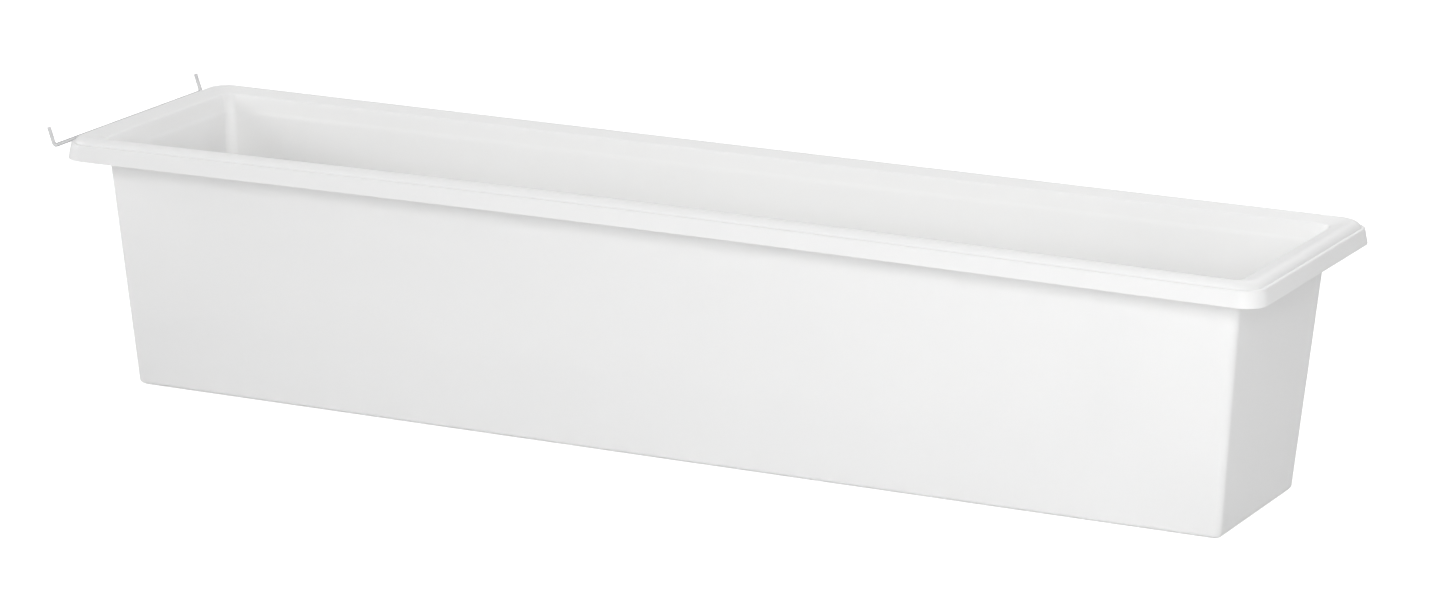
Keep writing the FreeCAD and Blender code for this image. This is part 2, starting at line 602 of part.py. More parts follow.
def hanger_loop():
    """The wire that carries the bar: up its inner side, under the skirt and through both ribs' saddles."""
    leg_x = BAR_X + 2 * WIRE_R - WELD
    side = [V(leg_x, 0, BAR_Z + WIRE_R), V(leg_x, 0, LOOP_LOW_Z), V(PIVOT_X, 0, LOOP_LOW_Z),
            V(PIVOT_X, 0, PIVOT_Z)]
    points = [p - Y * LOOP_HALF for p in side] + [p + Y * LOOP_HALF for p in reversed(side)]
    return bent_wire(points, WIRE_R, LOOP_BEND_R)


# ---- all pieces ----------------------------------------------------------------------------------------

LEFT, RIGHT = -1, 1

NODES = {
    "trough": trough,
    "floor_panel_left": lambda: floor_panel(LEFT),
    "floor_panel_right": lambda: floor_panel(RIGHT),
    "wick_cups_left": lambda: wick_cups(LEFT),
    "wick_cups_right": lambda: wick_cups(RIGHT),
    "cup_felts_left": lambda: cup_felts(LEFT),
    "cup_felts_right": lambda: cup_felts(RIGHT),
    "fleece_left": lambda: fleece(LEFT),
    "fleece_right": lambda: fleece(RIGHT),
    "filler_tube": filler_tube,
    "filler_cap": filler_cap,
    "cap_pin": cap_pin,
    "gauge_tube": gauge_tube,
    "gauge_lens": gauge_lens,
    "gauge_float": gauge_float,
    "gauge_rod": gauge_rod,
    "gauge_marker": gauge_marker,
    "overflow_plug": overflow_plug,
    "plug_seal": plug_seal,
    "hanger_bar": hanger_bar,
    "hanger_loop": hanger_loop,
}


os.makedirs("parts", exist_ok=True)
for name, make in NODES.items():
    solid = make()
    solid.exportStep(f"parts/{name}.step")
    bounds = solid.BoundBox
    print(f"{name:20s} solids {len(solid.Solids)}  valid {solid.isValid()}  volume {solid.Volume:12.1f}  "
          f"x {bounds.XMin:8.2f} {bounds.XMax:8.2f}  y {bounds.YMin:7.2f} {bounds.YMax:7.2f}  "
          f"z {bounds.ZMin:7.2f} {bounds.ZMax:7.2f}")
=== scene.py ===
"""A white self-watering planter trough: moulded shell, false floor, filler, gauge and wire hanger.

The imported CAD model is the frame. The trough, the fleece and the felts are rebuilt here as finer meshes in
the same places. Every other part keeps its CAD mesh and gets a procedural material. All but the wire and the
gauge's small parts also get slightly rounded edges.
"""
import json
from math import acos, atan2, cos, degrees, hypot, pi, radians, sin

import bmesh
import bpy
from mathutils import Matrix, Vector, noise


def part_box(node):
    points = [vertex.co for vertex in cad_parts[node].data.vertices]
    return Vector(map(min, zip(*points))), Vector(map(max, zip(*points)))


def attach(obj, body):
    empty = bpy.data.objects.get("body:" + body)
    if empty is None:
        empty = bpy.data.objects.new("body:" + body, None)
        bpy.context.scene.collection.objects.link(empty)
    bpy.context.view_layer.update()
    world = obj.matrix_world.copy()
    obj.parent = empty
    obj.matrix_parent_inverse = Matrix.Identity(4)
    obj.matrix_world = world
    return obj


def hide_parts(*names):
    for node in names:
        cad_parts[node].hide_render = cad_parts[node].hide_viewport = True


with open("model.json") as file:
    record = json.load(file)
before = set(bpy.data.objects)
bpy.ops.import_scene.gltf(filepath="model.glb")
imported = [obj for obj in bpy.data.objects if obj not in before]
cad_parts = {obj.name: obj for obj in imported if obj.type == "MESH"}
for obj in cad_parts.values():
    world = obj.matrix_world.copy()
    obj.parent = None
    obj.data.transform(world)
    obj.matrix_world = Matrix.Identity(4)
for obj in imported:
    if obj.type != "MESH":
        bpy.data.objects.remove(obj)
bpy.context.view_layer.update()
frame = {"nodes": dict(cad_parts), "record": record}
nodes = frame["nodes"]

MM = 0.001
NOISE_SEED = 11
noise.seed_set(NOISE_SEED)        # without a seed, noise_vector gives another result each run
TROUGH_LOW, TROUGH_HIGH = (Vector(corner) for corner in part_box("trough"))
HALF_X = (TROUGH_HIGH.x - TROUGH_LOW.x) / 2
HALF_Y = (TROUGH_HIGH.y - TROUGH_LOW.y) / 2
CREST_Z = TROUGH_HIGH.z


# ---- node materials ------------------------------------------------------------------------------------

class Shader:
    """A small helper for building one material's node tree."""

    def __init__(self, name):
        self.material = bpy.data.materials.new(name)
        self.material.use_nodes = True
        self.tree = self.material.node_tree
        self.bsdf = self.tree.nodes["Principled BSDF"]
        self.coords = self.add("ShaderNodeTexCoord").outputs["Object"]

    def add(self, kind, **values):
        node = self.tree.nodes.new(kind)
        for key, value in values.items():
            setattr(node, key, value)
        return node

    def link(self, source, target):
        self.tree.links.new(source, target)

    def set(self, **values):
        for key, value in values.items():
            self.bsdf.inputs[key.replace("_", " ")].default_value = value

    def noise(self, scale, detail=3.0, roughness=0.5, stretch=(1, 1, 1)):
        """Noise per metre of the object, optionally stretched along an axis."""
        mapping = self.add("ShaderNodeMapping")
        mapping.inputs["Scale"].default_value = stretch
        self.link(self.coords, mapping.inputs["Vector"])
        texture = self.add("ShaderNodeTexNoise")
        texture.inputs["Scale"].default_value = scale
        texture.inputs["Detail"].default_value = detail
        texture.inputs["Roughness"].default_value = roughness
        self.link(mapping.outputs["Vector"], texture.inputs["Vector"])
        return texture.outputs["Fac"]

    def ramp(self, source, stops):
        """A colour ramp over source: stops are (position, colour or grey)."""
        ramp = self.add("ShaderNodeValToRGB")
        elements = ramp.color_ramp.elements
        while len(elements) < len(stops):
            elements.new(0.5)
        for element, (position, colour) in zip(elements, stops):
            element.position = position
            rgb = (colour,) * 3 if isinstance(colour, float) else colour
            element.color = (*rgb, 1.0)
        self.link(source, ramp.inputs["Fac"])
        return ramp.outputs["Color"]

    def mix(self, factor, a, b):
        node = self.add("ShaderNodeMix", data_type="RGBA")
        if isinstance(factor, float):
            node.inputs["Factor"].default_value = factor
        else:
            self.link(factor, node.inputs["Factor"])
        for socket, value in (("A", a), ("B", b)):
            if isinstance(value, tuple):
                node.inputs[socket].default_value = (*value, 1.0)
            else:
                self.link(value, node.inputs[socket])
        return node.outputs["Result"]

    def inward(self, full):
        """How far a face looks at the object's long axis: 0 for level faces and those that look away,
        1 for walls that face it from full metres off or more."""
        across = self.add("ShaderNodeVectorMath", operation="MULTIPLY")
        across.inputs[1].default_value = (0.0, 1.0, 0.0)
        self.link(self.coords, across.inputs[0])
        facing = self.add("ShaderNodeVectorMath", operation="DOT_PRODUCT")
        self.link(across.outputs["Vector"], facing.inputs[0])
        self.link(self.add("ShaderNodeNewGeometry").outputs["Normal"], facing.inputs[1])
        share = self.add("ShaderNodeMapRange")
        share.inputs["From Min"].default_value = 0.0
        share.inputs["From Max"].default_value = -full
        self.link(facing.outputs["Value"], share.inputs["Value"])
        return share.outputs["Result"]

    def bump(self, height, distance, strength=1.0):
        """Adds one more layer of bump on top of those already there."""
        node = self.add("ShaderNodeBump")
        node.inputs["Distance"].default_value = distance
        node.inputs["Strength"].default_value = strength
        self.link(height, node.inputs["Height"])
        normal = self.bsdf.inputs["Normal"]
        if normal.is_linked:
            self.link(normal.links[0].from_socket, node.inputs["Normal"])
        self.link(node.outputs["Normal"], normal)

    def colour(self, socket):
        self.link(socket, self.bsdf.inputs["Base Color"])

    def roughness(self, socket):
        self.link(socket, self.bsdf.inputs["Roughness"])


def white_moulding():
    """Satin white polypropylene: slightly see-through, faint grain, soft flow marks along the trough,
    painted light on the inner walls.
    """
    s = Shader("white_moulding")
    s.set(IOR=1.49, Subsurface_Weight=0.12, Subsurface_Scale=0.004, Subsurface_Radius=(1.0, 0.95, 0.9))
    flow = s.noise(3.5, 4.0, 0.55, stretch=(0.35, 1.0, 1.6))
    speck = s.noise(1900.0, 2.0, 0.7)
    tone = s.mix(s.ramp(flow, [(0.3, 0.0), (0.7, 1.0)]), (0.905, 0.905, 0.903), (0.93, 0.93, 0.928))
    # painted light: the walls that face the trough's long axis, the inner walls, are painted lighter to
    # stand in for light falling on them
    tone = s.mix(s.inward(0.04), tone, (0.985, 0.985, 0.98))
    s.colour(s.mix(s.ramp(speck, [(0.66, 0.0), (0.74, 0.35)]), tone, (0.85, 0.85, 0.845)))
    s.roughness(s.ramp(flow, [(0.3, 0.40), (0.7, 0.50)]))
    s.bump(s.noise(1400.0, 3.0, 0.6), 0.00003, 0.6)
    s.bump(s.noise(14.0, 2.0, 0.4, stretch=(0.5, 1.0, 1.0)), 0.0004, 0.5)
    return s.material


def insert_moulding():
    """Dark recycled polypropylene with a fine eroded grain."""
    s = Shader("insert_moulding")
    s.set(IOR=1.49)
    cloud = s.noise(28.0, 5.0, 0.6)
    s.colour(s.ramp(cloud, [(0.3, (0.030, 0.032, 0.034)), (0.7, (0.047, 0.049, 0.052))]))
    s.roughness(s.ramp(cloud, [(0.3, 0.46), (0.7, 0.58)]))
    s.bump(s.noise(2600.0, 4.0, 0.7), 0.00006, 0.8)
    return s.material


def felt():
    """Needled wick felt: short tangled fibres in warm greys."""
    s = Shader("felt")
    s.set(Sheen_Weight=0.5, Sheen_Roughness=0.6, Roughness=0.95)
    fibres = s.noise(900.0, 8.0, 0.8, stretch=(1.0, 2.2, 1.0))
    greys = [(0.3, (0.30, 0.29, 0.26)), (0.55, (0.52, 0.51, 0.47)), (0.75, (0.70, 0.69, 0.64))]
    s.colour(s.ramp(fibres, greys))
    s.bump(fibres, 0.0006, 0.9)
    return s.material


def fleece_cloth():
    """Thin spun-bonded fleece: bonded dots on a mat of fine threads."""
    s = Shader("fleece_cloth")
    s.set(Sheen_Weight=0.35, Sheen_Roughness=0.5, Roughness=0.9)
    s.set(Subsurface_Weight=0.1, Subsurface_Scale=0.002)
    threads = s.noise(650.0, 8.0, 0.85, stretch=(2.5, 1.0, 1.0))
    dots = s.add("ShaderNodeTexVoronoi", voronoi_dimensions="2D", feature="F1", distance="EUCLIDEAN")
    dots.inputs["Scale"].default_value = 420.0
    dots.inputs["Randomness"].default_value = 0.12
    s.link(s.coords, dots.inputs["Vector"])
    press = s.ramp(dots.outputs["Distance"], [(0.16, 0.0), (0.30, 1.0)])
    whites = [(0.25, (0.80, 0.80, 0.79)), (0.6, (0.88, 0.88, 0.87)), (0.8, (0.93, 0.93, 0.92))]
    s.colour(s.mix(press, (0.78, 0.78, 0.77), s.ramp(threads, whites)))
    s.bump(threads, 0.0003, 0.7)
    s.bump(press, 0.0003, 0.8)
    return s.material


def clear_plastic():
    """Clear moulded plastic with a slightly uneven surface."""
    s = Shader("clear_plastic")
    s.set(IOR=1.49, Transmission_Weight=0.94, Roughness=0.06)
    s.set(Base_Color=(0.96, 0.98, 0.98, 1.0), Alpha=0.55)
    s.bump(s.noise(60.0, 2.0), 0.0002, 0.25)
    return s.material


def float_foam():
    """Cream closed-cell foam."""
    s = Shader("float_foam")
    cells = s.add("ShaderNodeTexVoronoi", feature="F1")
    cells.inputs["Scale"].default_value = 1100.0
    s.link(s.coords, cells.inputs["Vector"])
    s.colour(s.ramp(cells.outputs["Distance"], [(0.1, (0.86, 0.85, 0.80)), (0.6, (0.74, 0.72, 0.66))]))
    s.set(Roughness=0.75)
    s.bump(cells.outputs["Distance"], 0.0002, 0.6)
    return s.material


def marker_red():
    """Glossy red moulded plastic for the gauge's marker."""
    s = Shader("marker_red")
    cloud = s.noise(120.0, 3.0)
    s.colour(s.ramp(cloud, [(0.3, (0.50, 0.022, 0.014)), (0.7, (0.60, 0.035, 0.02))]))
    s.roughness(s.ramp(cloud, [(0.3, 0.22), (0.7, 0.32)]))
    s.bump(s.noise(900.0, 2.0), 0.00003, 0.5)
    return s.material


def seal_rubber():
    """Black rubber with a little pale dust."""
    s = Shader("seal_rubber")
    dust = s.noise(300.0, 6.0, 0.7)
    s.colour(s.ramp(dust, [(0.4, (0.012, 0.012, 0.012)), (0.8, (0.05, 0.05, 0.048))]))
    s.roughness(s.ramp(dust, [(0.3, 0.6), (0.7, 0.85)]))
    s.bump(s.noise(1500.0, 3.0), 0.00005, 0.7)
    return s.material


def zinc_wire():
    """Pale galvanised wire: a matt zinc coat with a dull bloom and drawing marks, with painted shade that
    darkens it towards its edges.
    """
    s = Shader("zinc_wire")
    s.set(Metallic=0.0, IOR=1.25, Specular_IOR_Level=0.3)
    bloom = s.noise(260.0, 5.0, 0.65)
    marks = s.noise(2400.0, 2.0, 0.5, stretch=(1.0, 0.05, 1.0))
    coat = s.ramp(bloom, [(0.3, (0.72, 0.725, 0.73)), (0.7, (0.80, 0.80, 0.805))])
    # painted shade: where the wire turns away from view it is painted dark grey, standing in for the shade
    # on its rounded edges
    painted_edge_shade = s.add("ShaderNodeLayerWeight")
    painted_edge_shade.inputs["Blend"].default_value = 0.4
    edges = s.ramp(painted_edge_shade.outputs["Facing"], [(0.35, 0.0), (0.75, 0.9)])
    s.colour(s.mix(edges, coat, (0.30, 0.30, 0.31)))
    s.roughness(s.ramp(bloom, [(0.3, 0.32), (0.7, 0.48)]))
    s.bump(marks, 0.00004, 0.6)
    return s.material


MATERIALS = {
    "white_moulding": white_moulding(),
    "insert_moulding": insert_moulding(),
    "felt": felt(),
    "fleece": fleece_cloth(),
    "clear_plastic": clear_plastic(),
    "float_foam": float_foam(),
    "marker_red": marker_red(),
    "seal_rubber": seal_rubber(),
    "zinc_wire": zinc_wire(),
}


# ---- mesh helpers --------------------------------------------------------------------------------------

def new_piece(name, mesh, body, slot, *stands_for):
    """Links a finished mesh as one piece of the object."""
    piece = bpy.data.objects.new(name, mesh)
    bpy.context.scene.collection.objects.link(piece)
    piece.data.materials.append(MATERIALS[slot])
    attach(piece, body)
    if stands_for:
        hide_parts(*stands_for)
    return piece


def smooth(mesh, angle=32):
    """Smooth shading with creases where faces meet at more than angle degrees."""
    mesh.shade_smooth()
    mesh.set_sharp_from_angle(angle=radians(angle))


def ring(half_x, half_y, radius, z, corner_steps, long_steps, short_steps):
    """Points round a rectangle with round corners, starting on the front straight, anticlockwise."""
    reach_x, reach_y = half_x - radius, half_y - radius
    straights = (((-reach_x, -half_y), (reach_x, -half_y), long_steps, -90),
                 ((half_x, -reach_y), (half_x, reach_y), short_steps, 0),
                 ((reach_x, half_y), (-reach_x, half_y), long_steps, 90),
                 ((-half_x, reach_y), (-half_x, -reach_y), short_steps, 180))
    centres = ((reach_x, -reach_y), (reach_x, reach_y), (-reach_x, reach_y), (-reach_x, -reach_y))
    points = []
    for (start, end, steps, facing), centre in zip(straights, centres):
        for step in range(steps + 1):
            share = step / steps
            points.append(Vector((start[0] + (end[0] - start[0]) * share,
                                  start[1] + (end[1] - start[1]) * share, z)))
        for step in range(1, corner_steps):
            angle = radians(facing + 90 * step / corner_steps)
            points.append(Vector((centre[0] + radius * cos(angle), centre[1] + radius * sin(angle), z)))
    return points


def finish_mesh(bm, name):
    """Turns a bmesh into a mesh with its faces outward."""
    bmesh.ops.recalc_face_normals(bm, faces=bm.faces)
    mesh = bpy.data.meshes.new(name)
    bm.to_mesh(mesh)
    bm.free()
    return mesh


def turned(profile, centre, steps=64, rough=0.0):
    """A closed solid turned from (radius, z) points in mm, lowest first; rough shakes its skin, in mm."""
    bm = bmesh.new()
    x, y = centre
    rings = []
    for radius, z in profile:
        loop = []
        for step in range(steps):
            angle = 2 * pi * step / steps
            point = Vector((x + radius * cos(angle), y + radius * sin(angle), z))
            if rough:
                point += rough * Vector(noise.noise_vector(point * 0.7)) * min(1.0, radius / 4)
            loop.append(bm.verts.new(point * MM))
        rings.append(loop)
    for low, high in zip(rings, rings[1:]):
        for i in range(steps):
            j = (i + 1) % steps
            bm.faces.new((low[i], low[j], high[j], high[i]))
    bm.faces.new(rings[0])
    bm.faces.new(rings[-1])
    return finish_mesh(bm, "turned")


def slab(outline, axis, low, high):
    """A prism in mm: outline points (a, b) in the plane across the axis, from low to high along it."""
    bm = bmesh.new()
    place = {"Y": lambda a, b, c: (a, c, b), "Z": lambda a, b, c: (a, b, c)}[axis]
    ends = [[bm.verts.new(Vector(place(a, b, c)) * MM) for a, b in outline] for c in (low, high)]
    for i in range(len(outline)):
        j = (i + 1) % len(outline)
        bm.faces.new((ends[0][i], ends[0][j], ends[1][j], ends[1][i]))
    for end in ends:
        bm.faces.new(end)
    return finish_mesh(bm, "slab")


def carved(mesh, steps):
    """The mesh after some (UNION or DIFFERENCE, tool mesh) steps."""
    collection = bpy.context.scene.collection
    work = bpy.data.objects.new("work", mesh)
    collection.objects.link(work)
    tools = []
    for operation, tool_mesh in steps:
        tool = bpy.data.objects.new("tool", tool_mesh)
        collection.objects.link(tool)
        tools.append(tool)
        modifier = work.modifiers.new(operation, "BOOLEAN")
        modifier.operation = operation
        modifier.object = tool
        modifier.solver = "EXACT"
    result = bpy.data.meshes.new_from_object(work.evaluated_get(bpy.context.evaluated_depsgraph_get()))
    for item in (work, *tools):
        bpy.data.objects.remove(item)
    return result


# ---- trough --------------------------------------------------------------------------------------------

# Millimetres. Insets are measured in from the skirt's foot, heights from the ground.
TOP, HALF_LENGTH, HALF_WIDTH = CREST_Z / MM, HALF_X / MM, HALF_Y / MM
SKIRT_LOW, LEDGE = TOP - 14.1, TOP - 3.9
MOUTH = TOP - 4.2                 # the height at which the inner walls' lines would reach MOUTH_IN
RIM_CORNER, MOUTH_CORNER = 15.0, 6.5
SKIRT_FLARE, RIM_WALL, LEDGE_ROUND, SKIRT_EDGE = 1.5, 2.2, 1.0, 0.45
FOOT_IN, CREST_IN, EDGE_IN, MOUTH_IN = 3.4, 8.6, 19.4, 22.5
BEAD_FALL, CREST_ROUND, EDGE_ROUND = 2.6, 9.0, 0.9
FALL_STEEPER, EDGE_SWEEP = 2.0, 165     # degrees: the bead's fall past its chord, and where its edge ends
MOUTH_LOW = TOP - 13.1            # where the mouth's edge has run out into the inner wall
BOTTOM_X, BOTTOM_Y = 366.7, 60.55
DRAFT_X, DRAFT_Y = 0.0826, 0.0923
WALL, FLOOR = 2.3, 2.5
BOTTOM_CORNER, TOP_CORNER, INNER_CORNER = 4.0, 6.5, 8.0
FOOT_ROUND, INNER_ROUND = 2.5, 5.0
BODY_HEIGHTS = (4, 12, 25, 45, 65, 85, 105, 125, 140, 150)
INSIDE_HEIGHTS = (148, 140, 125, 105, 85, 65, 45, 25, 12)
FLARES = ((153, 0.4), (155, 0.9), (157, 1.6))     # (height, how far the wall stands out) under the rim
BOW, BOW_START = 9.0, 45.0        # how far the empty front rim bows in, and the height where that starts
LONG_STEPS, SHORT_STEPS, CORNER_STEPS = 48, 12, 12
ROUND_STEPS = 6
FLAT_FACES_LEAD = 80              # how strongly large faces set the shading of the edges round them


def arc_points(centre, radius, start, end, steps):
    """(inset, z) points of an arc in the rim's section, angles in degrees from outward."""
    points = []
    for step in range(steps + 1):
        angle = radians(start + (end - start) * step / steps)
        points.append((centre[0] - radius * cos(angle), centre[1] + radius * sin(angle)))
    return points


def through(rise, run):
    """The radius and sweep in degrees of an arc that ends level after this rise and run."""
    radius = (run ** 2 + rise ** 2) / (2 * rise)
    return radius, degrees(acos((radius - rise) / radius))


def rim_outside():
    """The rim's outer surface from the skirt's foot over ledge and bead to the mouth."""
    slope_r, slope_sweep = through(TOP - LEDGE, CREST_IN - FOOT_IN)
    points = [(RIM_WALL - 2 * SKIRT_EDGE, SKIRT_LOW)]
    points += arc_points((SKIRT_EDGE, SKIRT_LOW + SKIRT_EDGE), SKIRT_EDGE, -85, 0, 3)
    ledge_centre = (SKIRT_FLARE + LEDGE_ROUND, LEDGE - LEDGE_ROUND)
    points += arc_points(ledge_centre, LEDGE_ROUND, 8, 86, ROUND_STEPS)
    points += arc_points((CREST_IN, TOP - slope_r), slope_r, 90 - slope_sweep, 90, 10)
    fall = degrees(atan2(BEAD_FALL, EDGE_IN - CREST_IN)) + FALL_STEEPER
    points += arc_points((CREST_IN, TOP - CREST_ROUND), CREST_ROUND, 90 + fall / 4, 90 + fall, 4)
    edge_centre = (EDGE_IN - EDGE_ROUND, TOP - BEAD_FALL - EDGE_ROUND)
    points += arc_points(edge_centre, EDGE_ROUND, 90 + fall, EDGE_SWEEP, 6)
    depth = TOP - BEAD_FALL - MOUTH_LOW
    for step in range(1, ROUND_STEPS + 1):
        down = step / ROUND_STEPS
        points.append((EDGE_IN + (MOUTH_IN - EDGE_IN) * down, TOP - BEAD_FALL - depth * down))
    return points


def rim_underside():
    """The rim's hollow from the body's wall out to the skirt's foot."""
    slope_r, slope_sweep = through(TOP - LEDGE, CREST_IN - FOOT_IN)
    fall_r, fall_sweep = through(BEAD_FALL, EDGE_IN - CREST_IN)
    low_r, ledge_low = slope_r - RIM_WALL, LEDGE - RIM_WALL
    inner, outer, foot = 0.3, 0.5, 0.4    # chamfers: both sides of the ledge's hollow, and the skirt's foot
    points = arc_points((CREST_IN, TOP - RIM_WALL - fall_r), fall_r, 90 + 0.9 * fall_sweep, 90, 5)
    points += arc_points((CREST_IN, TOP - slope_r), low_r, 84, 90 - slope_sweep, 4)
    points += [(points[-1][0], ledge_low + inner), (points[-1][0] - inner, ledge_low)]
    points += [(RIM_WALL + SKIRT_FLARE + outer, ledge_low), (RIM_WALL + SKIRT_FLARE, ledge_low - outer)]
    return points + [(RIM_WALL, SKIRT_LOW + foot), (RIM_WALL - foot, SKIRT_LOW)]


def trough_sections():
    """The shell's rings as (half_x, half_y, corner radius, z): up outside, over the rim, down inside."""
    sections = []

    def body(z, inset, radius):
        sections.append((BOTTOM_X + DRAFT_X * z - inset, BOTTOM_Y + DRAFT_Y * z - inset, radius, z))

    def rim(inset, z):
        radius = RIM_CORNER - (RIM_CORNER - MOUTH_CORNER) * inset / MOUTH_IN
        sections.append((HALF_LENGTH - inset, HALF_WIDTH - inset, radius, z))

    def inside(z, inset, radius):
        share = (z - FLOOR) / (MOUTH - FLOOR)
        low_x, low_y = BOTTOM_X + DRAFT_X * FLOOR - WALL, BOTTOM_Y + DRAFT_Y * FLOOR - WALL
        sections.append((low_x + share * (HALF_LENGTH - MOUTH_IN - low_x) - inset,
                         low_y + share * (HALF_WIDTH - MOUTH_IN - low_y) - inset, radius, z))

    body(0, FOOT_ROUND + 1.0, 3.0)
    for step in range(ROUND_STEPS):
        angle = pi / 2 * step / (ROUND_STEPS - 1)
        body(FOOT_ROUND * (1 - cos(angle)), FOOT_ROUND * (1 - sin(angle)), BOTTOM_CORNER)
    for z in BODY_HEIGHTS:
        body(z, 0, BOTTOM_CORNER + (TOP_CORNER - BOTTOM_CORNER) * z / TOP)
    for z, flare in FLARES:
        body(z, -flare, TOP_CORNER)
    for inset, z in rim_underside() + rim_outside():
        rim(inset, z)
    for z in INSIDE_HEIGHTS:
        inside(z, 0, MOUTH_CORNER + (INNER_CORNER - MOUTH_CORNER) * (1 - z / TOP))
    for step in range(1, ROUND_STEPS + 1):
        angle = pi / 2 * step / ROUND_STEPS
        inside(FLOOR + INNER_ROUND * (1 - sin(angle)), INNER_ROUND * (1 - cos(angle)), INNER_CORNER)
    inside(FLOOR, INNER_ROUND + 1.5, 6.0)
    return sections


def bowed(point):
    """Bends the front wall inward: most at the middle of the rim, not at all low down or at the ends."""
    along = 1 - min(1.0, (point.x / HALF_LENGTH) ** 2)
    forward = min(1.0, max(0.0, -point.y / (0.5 * HALF_WIDTH)))
    height = max(0.0, (point.z - BOW_START) / (TOP - BOW_START))
    return Vector((point.x, point.y + BOW * along ** 1.5 * forward * height ** 1.3, point.z))


def trough_skin():
    """The shell as one closed skin of rings."""
    bm = bmesh.new()
    rings = []
    for section in trough_sections():
        points = ring(*section, CORNER_STEPS, LONG_STEPS, SHORT_STEPS)
        rings.append([bm.verts.new(bowed(p) * MM) for p in points])
    count = len(rings[0])
    for low, high in zip(rings, rings[1:]):
        for i in range(count):
            j = (i + 1) % count
            bm.faces.new((low[i], low[j], high[j], high[i]))
    bm.faces.new(rings[0])
    bm.faces.new(rings[-1])
    return finish_mesh(bm, "trough_skin")


PLUG_CENTRE = [(low + high) / 2 / MM for low, high in zip(*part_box("overflow_plug"))][:2]
POCKET_R, POCKET_DEPTH, BOSS_FOOT_R = 20.0, 3.5, 24.5
STEM_HOLE_R, NOTCH_HALF = 8.06, (11.4, 2.9)
WIRE_R = 1.25
PIVOT_X, PIVOT_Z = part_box("hanger_loop")[1][0] / MM - WIRE_R, 153.0
SADDLE_R, SADDLE_MOUTH, SADDLE_STEPS = 1.31, 1.05, 16
RIB_Y, RIB_THICK, RIB_BOTTOM = 22.0, 3.0, 149.6


def drain_steps():
    """The drain's raised boss, the pocket under it and the keyhole for the plug."""
    top, soft = FLOOR + POCKET_DEPTH, 0.8         # soft: the size of the rounded edges
    boss_r = POCKET_R + FLOOR
    boss = [(BOSS_FOOT_R + 1.0, FLOOR - 1.0), (BOSS_FOOT_R + 1.0, FLOOR)]
    boss += [(BOSS_FOOT_R, FLOOR + soft / 2)]
    boss += [(boss_r + 0.4, top - soft), (boss_r - 0.1, top - soft / 3), (boss_r - soft, top)]
    pocket = [(POCKET_R + soft, -1.0), (POCKET_R + soft, 0.0)]
    pocket += [(POCKET_R + soft / 3, soft / 3), (POCKET_R, soft)]
    pocket += [(POCKET_R, POCKET_DEPTH - soft / 2), (POCKET_R - soft / 2, POCKET_DEPTH)]
    hole = [(STEM_HOLE_R, POCKET_DEPTH - 1.0), (STEM_HOLE_R, top - 0.4), (STEM_HOLE_R + 1.0, top + 0.6)]
    x, y = PLUG_CENTRE
    reach, half = NOTCH_HALF
    corners = [(x - reach, y - half), (x + reach, y - half), (x + reach, y + half), (x - reach, y + half)]
    notch = slab(corners, "Z", POCKET_DEPTH - 1.0, top + 1.0)
    return [("UNION", turned(boss, PLUG_CENTRE, 96)), ("DIFFERENCE", turned(pocket, PLUG_CENTRE, 96)),
            ("DIFFERENCE", turned(hole, PLUG_CENTRE)), ("DIFFERENCE", notch)]


def rib_steps():
    """Two ribs under the left end of the rim, each with a snap-in saddle for the wire."""
    outer = -HALF_LENGTH + (RIM_WALL + SKIRT_FLARE) / 2
    inner = -BOTTOM_X - DRAFT_X * RIB_BOTTOM + WALL / 2
    top = LEDGE - RIM_WALL / 2
    opening = degrees(acos(SADDLE_MOUTH / SADDLE_R))
    saddle = []
    for step in range(SADDLE_STEPS + 1):
        angle = radians(180 + opening - (180 + 2 * opening) * step / SADDLE_STEPS)
        saddle.append((PIVOT_X + SADDLE_R * cos(angle), PIVOT_Z + SADDLE_R * sin(angle)))
    lead_in = 1.6 * SADDLE_MOUTH
    outline = [(outer, top), (outer, RIB_BOTTOM), (PIVOT_X - lead_in, RIB_BOTTOM)] + saddle
    inner_top = -HALF_LENGTH + EDGE_IN - 0.1      # inside the wall, short of its inner face
    outline += [(PIVOT_X + lead_in, RIB_BOTTOM), (inner, RIB_BOTTOM), (inner_top, top)]
    return [("UNION", slab(outline, "Y", y - RIB_THICK / 2, y + RIB_THICK / 2)) for y in (-RIB_Y, RIB_Y)]


def make_trough():
    """The trough: one moulded skin with its drain and the two ribs for the wire."""
    mesh = carved(trough_skin(), drain_steps() + rib_steps())
    mesh.name = "trough_shell"
    mesh.materials.clear()
    smooth(mesh)
    piece = new_piece("trough_shell", mesh, "trough", "white_moulding", "trough")
    weighted = piece.modifiers.new("weighted", "WEIGHTED_NORMAL")
    weighted.keep_sharp = True
    weighted.weight = FLAT_FACES_LEAD


# ---- fleece and felts ----------------------------------------------------------------------------------

FLEECE_CELL, FLEECE_THICK, FLEECE_CORNER = 3.5, 1.2, 8.0
FLEECE_RIPPLE = 0.55                  # how far the sheet rises in its waves
CUP_LAP = 6.7                         # how far the fleece lies over a cup's flange
TUBE_FLANGE, FILLER_HALF = 3.5, 11.0  # how far the tubes' flanges stand out, and half the filler's depth
PANEL_Z, FLANGE_Z = 50.15, 51.75      # what the fleece lies on: the panel, and the flanges that stand on it
DRAPE = 11.0                          # how far from a flange the fleece has come down to the panel


def cup_circles(side):
    """The two cups of one side as (x, y, flange radius): their box spans both flanges."""
    low, high = (Vector(corner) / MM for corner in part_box(f"wick_cups_{side}"))
    radius = (high.y - low.y) / 2
    y = (low.y + high.y) / 2
    return [(low.x + radius, y, radius), (high.x - radius, y, radius)]


def capsule_distance(x, y, box):
    """Distance in mm outside a flat oval that fills a box."""
    low, high = (Vector(corner) / MM for corner in box)
    radius = (high.y - low.y) / 2
    reach = (high.x - low.x) / 2 - radius
    dx = max(0.0, abs(x - (low.x + high.x) / 2) - reach)
    return hypot(dx, y - (low.y + high.y) / 2) - radius


